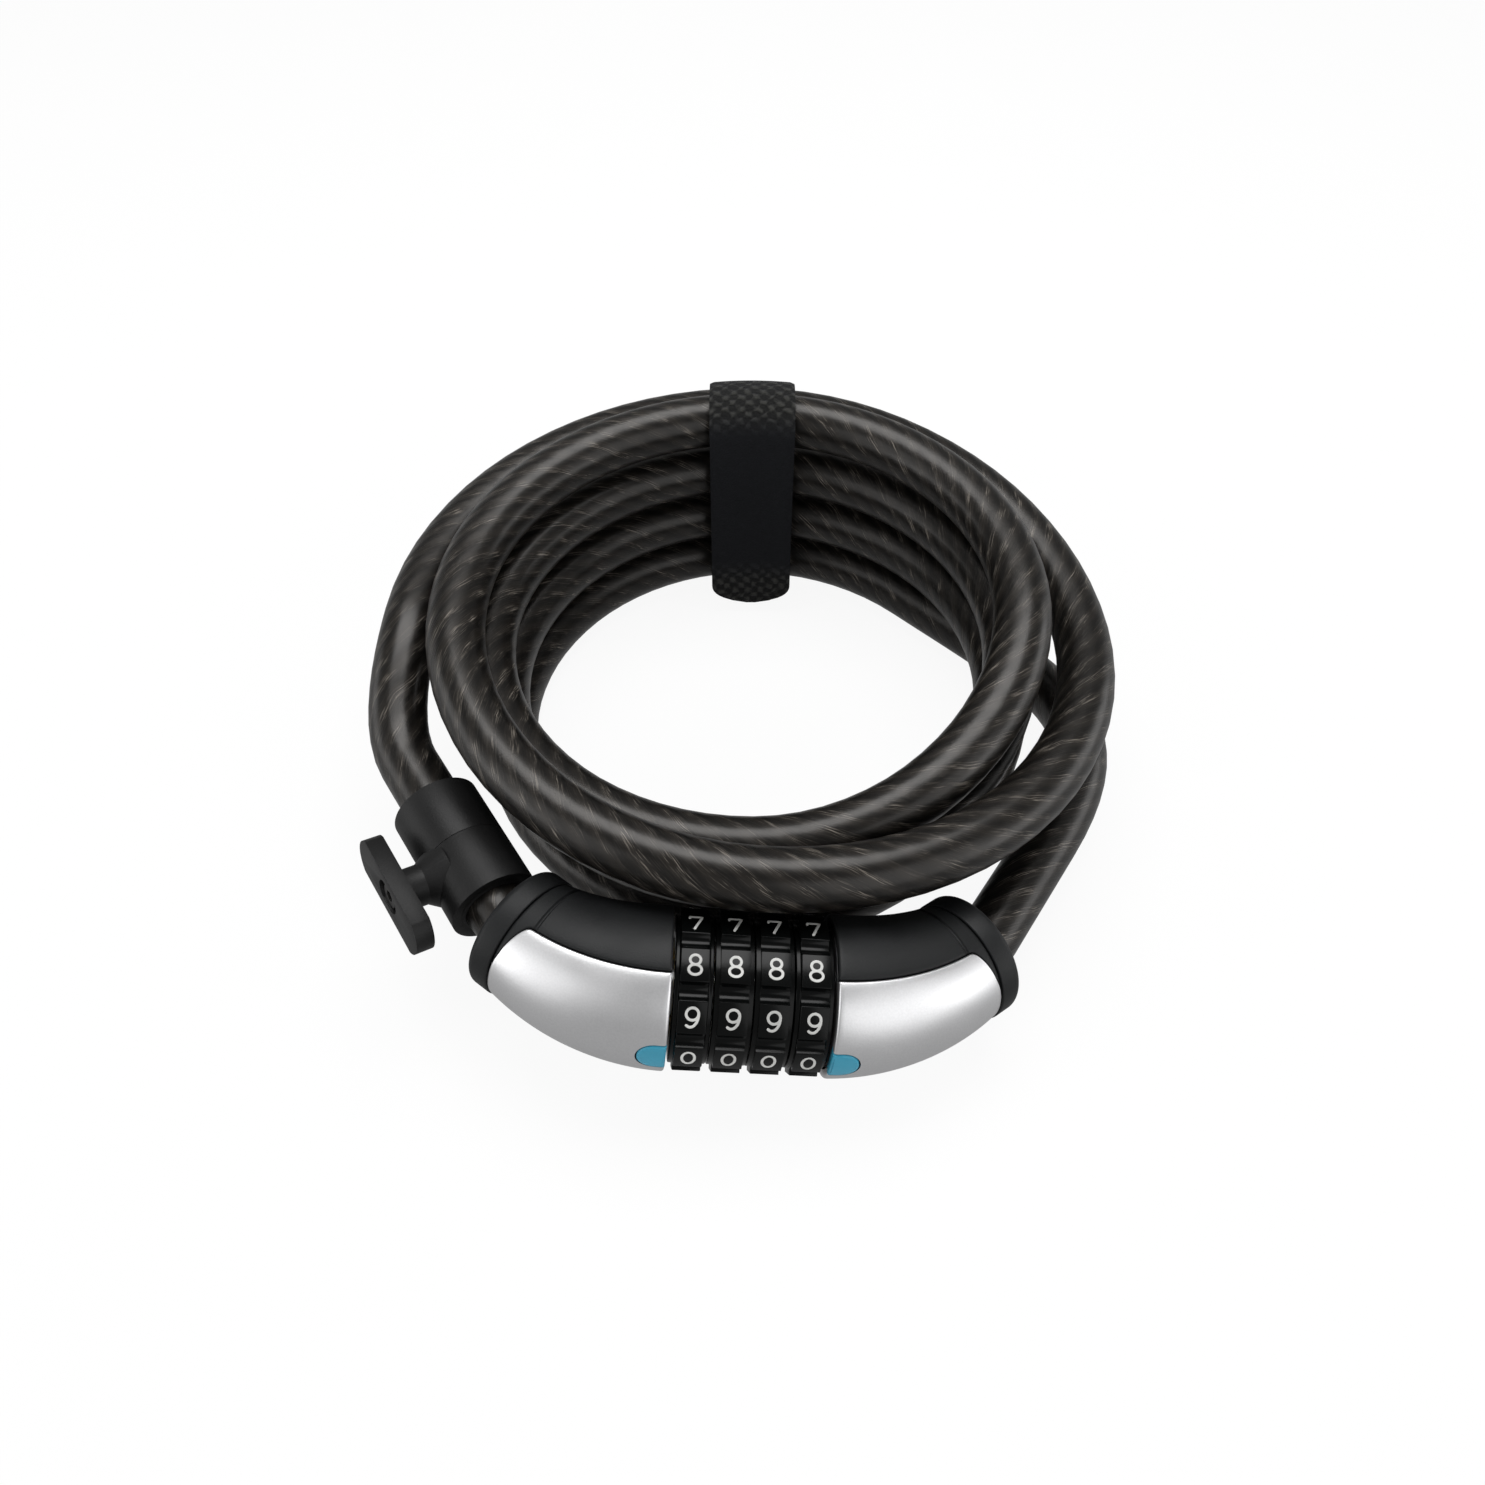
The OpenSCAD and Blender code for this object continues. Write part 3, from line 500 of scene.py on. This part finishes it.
def housing_place(t, angle, radius):
    """A place on the right half: t along its bend from the dials, angle up from its front."""
    b = BEND * t
    return (FACE_X + BEND_R * math.sin(b) + radius * math.cos(angle) * math.sin(b),
            BEND_R * (1 - math.cos(b)) - radius * math.cos(angle) * math.cos(b),
            radius * math.sin(angle))


def housing_point(t, angle, radius, side):
    x, y, z = housing_place(t, angle, radius)
    return head_point((side * x, y, z))


def fall(d, r):
    """How far a rim of radius r has dropped at d from its edge."""
    return 0.0 if d >= r else r - math.sqrt(max(0.0, r * r - (r - d) ** 2))


def skin_rows(outward):
    """Where the rows of a skin lie, close together at its rims and, on a cover, at its groove."""
    spread = [math.sin(math.pi / 2 * i / SKIN_ROWS) for i in range(1, SKIN_ROWS + 1)]
    ts = [d / LENGTH for d in RIM]
    ts += [s for s in spread if RIM_R / LENGTH + FIRST_CLEAR_T < s < 1 - LAST_CLEAR / LENGTH]
    ts += [1 - d / LENGTH for d in RIM[::-1]]
    if outward:
        return ts
    ts = [t for t in ts if abs(t - GROOVE_T) * LENGTH > GROOVE_HALF + GROOVE_CLEAR]
    shares = [k / GROOVE_ROWS for k in range(-GROOVE_ROWS, GROOVE_ROWS + 1)]
    return sorted(ts + [GROOVE_T + GROOVE_HALF * share / LENGTH for share in shares])


def skin_mesh(side, outward, cols):
    """Curved plate with rounded rims, on the outward side of the head or round its back."""
    layers = []
    for depth in (0, SKIN):
        grid = []
        for t in skin_rows(outward):
            r = housing_r(t)
            air = SEAM / 2 / r
            hi = border(t) - air if outward else 2 * math.pi - border(t) - air
            lo = -hi if outward else 2 * math.pi - hi
            wide = (hi - lo) * r
            edge = [min(d, wide * RIM_SHARE) for d in RIM]
            mids = [edge[-1] + (wide - 2 * edge[-1]) * j / cols for j in range(1, cols)]
            row = []
            for a in edge + mids + [wide - e for e in edge[::-1]]:
                drop = 0
                if not depth:
                    drop = max(fall(min(a, wide - a), RIM_R), fall(min(t, 1 - t) * LENGTH, RIM_R))
                    if not outward:
                        drop += GROOVE_DEEP * max(0, 1 - (abs(t - GROOVE_T) * LENGTH / GROOVE_HALF) ** 2)
                row.append(housing_point(t, lo + a / r, r - drop - depth, side) * MM)
            grid.append(row)
        layers.append(np.array(grid))
    rows_n, cols_n = layers[0].shape[:2]
    last_i, last_j = rows_n - 1, cols_n - 1
    faces = []

    def quad(*corners):
        faces.append(tuple((layer * rows_n + i) * cols_n + j for layer, i, j in corners))

    for i in range(last_i):
        for j in range(last_j):
            quad((0, i, j), (0, i + 1, j), (0, i + 1, j + 1), (0, i, j + 1))
            quad((1, i, j), (1, i, j + 1), (1, i + 1, j + 1), (1, i + 1, j))
    for j in range(last_j):
        quad((0, 0, j), (0, 0, j + 1), (1, 0, j + 1), (1, 0, j))
        quad((0, last_i, j), (1, last_i, j), (1, last_i, j + 1), (0, last_i, j + 1))
    for i in range(last_i):
        quad((0, i, 0), (1, i, 0), (1, i + 1, 0), (0, i + 1, 0))
        quad((0, i, last_j), (0, i + 1, last_j), (1, i + 1, last_j), (1, i, last_j))
    return turned_out(built("skin", np.concatenate([a.reshape(-1, 3) for a in layers]), faces))


# An index mark's length, height, crown and rim radius, and its rings in mm from the rim.
MARK_L, MARK_H, MARK_PROUD, MARK_ROUND = 5.2, 6.6, 0.15, 0.4
MARK_RINGS, MARK_POINTS = [0, 0.08, 0.2, 0.4, 1.0, 2.0, 3.0], 25
CUT_PAST, CUT_FROM, CUT_TO, CUT_POINTS = 0.5, -10.0, -19.0, 24


def half_oval(r, x_face, n):
    """Outline of an index mark: square at the dials, round at its other end."""
    x0 = FACE_X + MARK_L - MARK_H / 2
    turn = np.linspace(-math.pi / 2, math.pi / 2, n)
    return [(x_face, -r)] + [(x0 + r * math.cos(a), r * math.sin(a)) for a in turn] + [(x_face, r)]


def turned(y, z, angle):
    c, s = math.cos(-angle), math.sin(-angle)
    return y * c - z * s, y * s + z * c


def spindle_point(x, y, z, side):
    """A place beside the dials, turned with them up to the index line."""
    return head_point((side * x, *turned(y, z, INDEX)))


def mark_cutter(side):
    pts = half_oval(MARK_H / 2 + SEAM, FACE_X - CUT_PAST, CUT_POINTS)
    n = len(pts)
    verts = [spindle_point(x, y, z, side) * MM for y in (CUT_FROM, CUT_TO) for x, z in pts]
    faces = [tuple(range(n)), tuple(range(2 * n - 1, n - 1, -1))]
    faces += [(j, (j + 1) % n, n + (j + 1) % n, n + j) for j in range(n)]
    return turned_out(built("cutter", verts, faces))


def cut_by(mesh, cutter_mesh):
    o = bpy.data.objects.new("cut_work", mesh)
    c = bpy.data.objects.new("cut_tool", cutter_mesh)
    for x in (o, c):
        scene.collection.objects.link(x)
    mod = o.modifiers.new("cut", "BOOLEAN")
    mod.operation, mod.object, mod.solver = "DIFFERENCE", c, "EXACT"
    bpy.context.view_layer.update()
    made = applied(o)
    for x in (o, c):
        bpy.data.objects.remove(x)
    return made


def mark_mesh(side):
    """The index mark: a half oval that follows the housing, crowned and rounded at its rim."""
    rings = []
    for s in MARK_RINGS:
        ring = half_oval(MARK_H / 2 - s, FACE_X, MARK_POINTS)
        rings.append([(max(x, FACE_X + min(s, MARK_ROUND)), z, s) for x, z in ring])
    rings.insert(0, [(x, z, -1) for x, z, s in rings[0]])
    verts = []
    for x, z, s in sum(rings, []):
        t = 0.0
        for _ in range(4):
            t = max(0.0, math.asin(min(1, (x - FACE_X) / (BEND_R + housing_r(t)))) / BEND)
        r = housing_r(t) + (MARK_PROUD - fall(s, MARK_ROUND) if s >= 0 else -SKIN)
        angle = math.asin(max(-1, min(1, z / r)))
        verts.append(spindle_point(*housing_place(t, angle, r), side) * MM)
    n = len(rings[0])
    last = (len(rings) - 1) * n
    faces = []
    for base in range(0, last, n):
        for j in range(n):
            k = (j + 1) % n
            faces.append((base + j, base + k, base + n + k, base + n + j))
    faces += [tuple(range(last, last + n)), tuple(range(n - 1, -1, -1))]
    return turned_out(built("mark", verts, faces))


for side, half, body in ((-1, "left", "lock_body"), (1, "plug", "plug")):
    shell = cut_by(skin_mesh(side, True, SHELL_COLS), mark_cutter(side))
    piece(half + "_shell_skin", shell, SATIN, body, [half + "_shell"])
    piece(half + "_cover_skin", skin_mesh(side, False, COVER_COLS), SOFT, body, [half + "_cover"])
    piece(half + "_mark", mark_mesh(side), BLUE, body, [half + "_index_mark"], angle=50)
    dressed(half + "_collar", SOFT, body, 0.2)


# ------------------------------------------------------------------ dials and their numbers

PITCH, ACROSS, FACES = 7.1, 29.0, 10
DIGIT_W, DIGIT_H, STROKE, CLOSED_WITHIN = 2.26, 3.5, 0.5, 0.02
# A stroke's section: share of its half width, and height above the face. A number's second stroke
# lies higher by OVERLAP.
SECTION = ((1, -0.05), (0.96, 0.035), (0, 0.075), (-0.96, 0.035), (-1, -0.05))
OVERLAP = 0.004


def arc(cx, cy, rx, ry, a0, a1, n=18):
    turn = [math.radians(a) for a in np.linspace(a0, a1, n)]
    return [(cx + rx * math.cos(a), cy + ry * math.sin(a)) for a in turn]


def bent(points, n=6):
    """Straight legs with a few points each, so that the strokes stay even."""
    out = []
    for (x0, y0), (x1, y1) in zip(points, points[1:]):
        out += [(x0 + (x1 - x0) * i / n, y0 + (y1 - y0) * i / n) for i in range(n)]
    return out + [points[-1]]


# The strokes of each number, in a box from 0 to 1.
DIGITS = {
    0: [arc(0.5, 0.5, 0.5, 0.5, 90, 450, 40)],
    1: [bent([(0.12, 0.78), (0.52, 1.0), (0.52, 0.0)])],
    2: [arc(0.5, 0.71, 0.46, 0.29, 168, -28, 20) + bent([(0.0, 0.0), (1.0, 0.0)])],
    3: [arc(0.46, 0.745, 0.42, 0.255, 155, -90, 22), arc(0.46, 0.265, 0.50, 0.265, 96, -155, 24)],
    4: [bent([(0.72, 0.0), (0.72, 1.0), (0.0, 0.28), (1.0, 0.28)])],
    5: [bent([(0.92, 1.0), (0.18, 1.0), (0.10, 0.56)]) + arc(0.46, 0.32, 0.50, 0.32, 128, -150, 26)],
    6: [arc(0.5, 0.32, 0.48, 0.32, 90, 450, 32), arc(0.62, 0.36, 0.60, 0.64, 180, 62, 18)],
    7: [bent([(0.0, 0.90), (0.02, 1.0), (1.0, 1.0), (0.38, 0.0)])],
    8: [arc(0.5, 0.755, 0.41, 0.245, -90, 270, 34), arc(0.5, 0.255, 0.5, 0.255, 90, 450, 36)],
    9: [arc(0.5, 0.68, 0.48, 0.32, -90, 270, 32), arc(0.38, 0.64, 0.60, 0.64, 0, -118, 18)],
}


def ribbon(line, closed):
    """Rows along a stroke, each a point, a direction and a width, with a round end where it is open."""
    pts = np.array(line)
    if closed:
        pts = pts[:-1]
        d = np.roll(pts, -1, 0) - np.roll(pts, 1, 0)
    else:
        d = np.gradient(pts, axis=0)
    d /= np.linalg.norm(d, axis=1)[:, None]
    rows = [(p, w, STROKE) for p, w in zip(pts, d)]
    if closed:
        return rows
    rounding = [(STROKE / 2 * math.cos(a), STROKE * math.sin(a)) for a in np.linspace(0.25, math.pi / 2, 5)[:-1]]
    head = [(pts[0] - d[0] * out, d[0], wide) for out, wide in rounding]
    tail = [(pts[-1] + d[-1] * out, d[-1], wide) for out, wide in rounding[::-1]]
    return head + rows + tail


def dial_numbers(k):
    """The ten numbers of dial k, raised a little from its faces."""
    verts, faces = [], []
    x0 = (k - 2.5) * PITCH
    m = len(SECTION)
    for i in range(FACES):
        face = math.radians(360 / FACES * i)
        for s, stroke in enumerate(DIGITS[-i % FACES]):
            line = [((x - 0.5) * DIGIT_W, (y - 0.5) * DIGIT_H) for x, y in stroke]
            closed = np.hypot(line[0][0] - line[-1][0], line[0][1] - line[-1][1]) < CLOSED_WITHIN
            rows = ribbon(line, closed)
            base = len(verts)
            for p, d, wide in rows:
                across = np.array((-d[1], d[0])) * wide / 2
                for f, lift in SECTION:
                    if not f:
                        lift += OVERLAP * s
                    q = p + across * f
                    y, z = turned(-(ACROSS / 2 + lift), q[1], face)
                    verts.append(spindle_point(x0 + q[0], y, z, 1) * MM)
            n = len(rows)
            for r in range(n if closed else n - 1):
                a, b = base + r * m, base + ((r + 1) % n) * m
                faces += [(a + j, a + j + 1, b + j + 1, b + j) for j in range(m - 1)]
            if not closed:
                last = base + (n - 1) * m
                faces += [tuple(range(base + m - 1, base - 1, -1)), tuple(range(last, last + m))]
    return turned_out(built("numbers", verts, faces))


for k in range(1, 5):
    body = "dial_%d_body" % k
    dressed("dial_%d" % k, DIAL, body, 0.22)
    piece("dial_%d_numbers" % k, dial_numbers(k), PAINT, body, angle=60)


# ------------------------------------------------------------------ bracket

for node, mat, slot, bevel in (
        ("bracket_far_ring", NYLON, "bracket_black", 0.45),
        ("bracket_near_ring", NYLON, "bracket_black", 0.45),
        ("bracket_tee", NYLON, "bracket_black", 0.5),
        ("bracket_screw", DARK_STEEL, "steel", 0.15),
        ("bracket_liner", RUBBER, "liner", 0.0)):
    dressed(node, mat, "bracket", bevel)


# ------------------------------------------------------------------ strap

STRAP_W, STRAP_T, AIR, TIP_L, TIP_LEAST = 20.0, 1.3, 0.3, 5.5, 1.2
# Columns across the tape, how far its selvedges pinch in, and a slight widening, less at them.
TAPE_COLS, EDGE_IN, WIDER, WIDER_EDGE = 20, 0.5, 1.004, 1.00352
ARC_STEPS = 14
# The free end laps over the top from LAP_FROM on, then hangs to HANG_Z and leans inward.
LAP_FROM, LAP_STEPS, LAP_AIR = math.radians(50), 18, 0.05
HANG_Z, HANG_LEAN, HANG_STEPS = 2.6, 6.0, 60
LOOP_FROM = 65.0  # past TIP_V, so that the loop is knobbly all over
inner_r = CABLE_R + AIR
# The three runs at the back that the strap bears on, as distance from the coil's axis and height.
low, outer, top = (laid_at(turn) for turn in (4.5, 0.5, 1.5))


def polar(a):
    return np.array((math.cos(a), math.sin(a)))


def band(radius):
    """Outline of a band round the three cable runs."""
    centres = [low, outer, top]
    pts = []
    for i in range(3):
        here, before, after = centres[i], centres[i - 1], centres[(i + 1) % 3]
        into = math.atan2(here[1] - before[1], here[0] - before[0]) - math.pi / 2
        out = math.atan2(after[1] - here[1], after[0] - here[0]) - math.pi / 2
        sweep = (out - into) % (2 * math.pi)
        pts += [here + radius * polar(into + sweep * k / ARC_STEPS) for k in range(ARC_STEPS + 1)]
        leaves, meets = pts[-1], after + radius * polar(out)
        pts += [leaves + (meets - leaves) * k / ARC_STEPS for k in range(1, ARC_STEPS)]
    return np.array(pts)


def strap_point(rho, z, w):
    return np.array((COIL[0] + w, COIL[1] + math.sqrt(max(0.0, rho * rho - w * w)), z)) * MM


def half_width(left):
    """Half the tape's width, with this much left to a round tip."""
    if left >= TIP_L:
        return STRAP_W / 2
    return max(TIP_LEAST, STRAP_W / 2 * math.sqrt(max(0.0, 1 - (1 - left / TIP_L) ** 2)))


def tape(name, inside, outside, closed, v_from=0.0):
    """A strip between two outlines, with rounded selvedges and, where it is open, a round tip."""
    n = len(inside)
    run = np.concatenate([[0], np.cumsum(np.linalg.norm(np.diff(outside, axis=0), axis=1))])
    halves = [STRAP_W / 2 if closed else half_width(run[-1] - r) for r in run]
    cross = [(f, 1) for f in np.linspace(-1, 1, TAPE_COLS + 1)]
    cross += [(f, 0) for f in np.linspace(1, -1, TAPE_COLS + 1)]
    m = len(cross)
    verts, faces, uvs = [], [], []
    for p_in, p_out, half in zip(inside, outside, halves):
        mid = (p_in + p_out) / 2
        for f, o in cross:
            selvedge = abs(f) > 0.99
            p = p_out if o else p_in
            if selvedge:
                p = p + (mid - p) * EDGE_IN
            verts.append(strap_point(p[0], p[1], f * half * (WIDER_EDGE if selvedge else WIDER)))
    for i in range(n if closed else n - 1):
        i2 = (i + 1) % n
        v0 = v_from + run[i]
        v1 = v0 + np.linalg.norm(outside[i2] - outside[i])
        for j in range(m):
            k = (j + 1) % m
            faces.append((i * m + j, i2 * m + j, i2 * m + k, i * m + k))
            u0, u1 = cross[j][0] * halves[i] * MM, cross[k][0] * halves[i] * MM
            uvs += [(u0, v0 * MM), (u0, v1 * MM), (u1, v1 * MM), (u1, v0 * MM)]
    if not closed:
        faces += [tuple(range(m - 1, -1, -1)), tuple((n - 1) * m + j for j in range(m))]
        uvs += [(0, 0)] * (2 * m)
    return turned_out(built(name, verts, faces, "weave", uvs)), run[-1]


def flap_line(r):
    """From behind the top run, over it and down the inner side to the tip."""
    pts = [top + r * polar(a) for a in np.linspace(LAP_FROM, math.pi, LAP_STEPS)]
    for k in range(1, HANG_STEPS + 1):
        s = k / HANG_STEPS
        pts.append(np.array((top[0] - r - HANG_LEAN * s ** 2, top[1] + (HANG_Z - top[1]) * s)))
    return np.array(pts)


loop_mesh, loop_len = tape("strap_loop", band(inner_r), band(inner_r + STRAP_T), True, LOOP_FROM)
strap_loop = piece("strap_loop", loop_mesh, STRAP, nodes=["strap"])
flap_in, flap_out = flap_line(inner_r + STRAP_T + LAP_AIR), flap_line(inner_r + 2 * STRAP_T)
flap_mesh, flap_len = tape("strap_flap", flap_in, flap_out, False)
strap_flap = piece("strap_flap", flap_mesh, STRAP)


# ------------------------------------------------------------------ inner pieces keep their solids

for nodes, mat in ((("left_core", "plug_core"), ZINC),
                   (("spindle_sleeve", "sleeve_cross_pin", "end_plate", "detent_leaf", "fixed_ferrule",
                     "locking_pin", "plug_cross_pin", "plug_ferrule"), STEEL),
                   (("code_ring_1", "code_ring_2", "code_ring_3", "code_ring_4"), BRASS)):
    for node in nodes:
        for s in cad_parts[node].material_slots:
            s.material = mat


# ------------------------------------------------------------------ floor and light

FLOOR_HALF, FLOOR_DROP = 4, 0.0002
GLOW, GLOW_IN_GLOSS, GLOW_SHARE = 1.0, 0.34, 0.92
ROOM_LIGHT, ROOM_SEEN = 0.2, 1.0


def floor_material():
    """White to the camera, dimmer in reflections, and a plain pale floor to all other light."""
    m = bpy.data.materials.new("floor_white")
    m.use_nodes = True
    t = m.node_tree
    t.nodes.clear()
    out = t.nodes.new("ShaderNodeOutputMaterial")
    ray = t.nodes.new("ShaderNodeLightPath")
    seen = calc(t, "MAXIMUM", ray.outputs["Is Camera Ray"],
                calc(t, "MAXIMUM", ray.outputs["Is Glossy Ray"], ray.outputs["Is Transmission Ray"]))
    bright = remap(t, ray.outputs["Is Glossy Ray"], 0, 1, GLOW, GLOW_IN_GLOSS)
    grain = noise(t, 30, 2.0)
    colour = blend_colour(t, remap(t, grain, 0.3, 0.7, 0, 1), (0.86, 0.86, 0.86), (0.88, 0.88, 0.88))
    lit = put(t, "ShaderNodeBsdfDiffuse", {"Color": colour})
    glow = put(t, "ShaderNodeEmission", {"Color": (1, 1, 1, 1), "Strength": bright})
    mix = put(t, "ShaderNodeMixShader",
              {0: calc(t, "MULTIPLY", seen, GLOW_SHARE), 1: lit.outputs[0], 2: glow.outputs[0]})
    t.links.new(mix.outputs[0], out.inputs[0])
    return m


corners = [(x * FLOOR_HALF, y * FLOOR_HALF, 0) for x, y in ((-1, -1), (1, -1), (1, 1), (-1, 1))]
floor_mesh = built("floor", corners, [(0, 1, 2, 3)])
floor = bpy.data.objects.new("floor", floor_mesh)
scene.collection.objects.link(floor)
floor_mesh.materials.append(floor_material())
floor.location.z = -FLOOR_DROP

world = bpy.data.worlds.new("room")
scene.world = world
world.use_nodes = True
wt = world.node_tree
wt.nodes.clear()
w_out = wt.nodes.new("ShaderNodeOutputWorld")
w_ray = wt.nodes.new("ShaderNodeLightPath")
w_seen = calc(wt, "MAXIMUM", w_ray.outputs["Is Camera Ray"], w_ray.outputs["Is Transmission Ray"])
w_back = put(wt, "ShaderNodeBackground",
             {"Color": (1, 1, 1, 1), "Strength": remap(wt, w_seen, 0, 1, ROOM_LIGHT, ROOM_SEEN)})
wt.links.new(w_back.outputs[0], w_out.inputs[0])


def softbox(name, place, aim, size, power):
    d = bpy.data.lights.new(name, "AREA")
    d.shape = "RECTANGLE"
    d.size, d.size_y = size
    d.energy = power
    o = bpy.data.objects.new(name, d)
    scene.collection.objects.link(o)
    o.location = place
    o.rotation_mode = "QUATERNION"
    o.rotation_quaternion = (Vector(aim) - Vector(place)).to_track_quat("-Z", "Y")


# Each lamp's name, place, aim, size in metres and power in watts.
for lamp in (
        ("key_top", (0.0, 0.21, 0.74), (0, 0, 0), (0.7, 0.42), 5.4),
        ("front_fill", (-0.05, -0.85, 0.40), (0, -0.05, 0.02), (1.3, 0.8), 0.5),
        ("left_front", (-0.690, -0.389, 0.360), (0, -0.073, 0.02), (0.65, 0.75), 1.9),
        ("right_front", (0.560, -0.580, 0.360), (0, -0.073, 0.02), (0.9, 0.75), 2.6),
        ("left_low", (-0.75, -0.05, 0.15), (0, 0, 0.02), (0.7, 0.28), 1.0),
        ("right_low", (0.75, 0.0, 0.15), (0, 0, 0.02), (0.8, 0.28), 1.5)):
    softbox(*lamp)

bpy.context.view_layer.update()
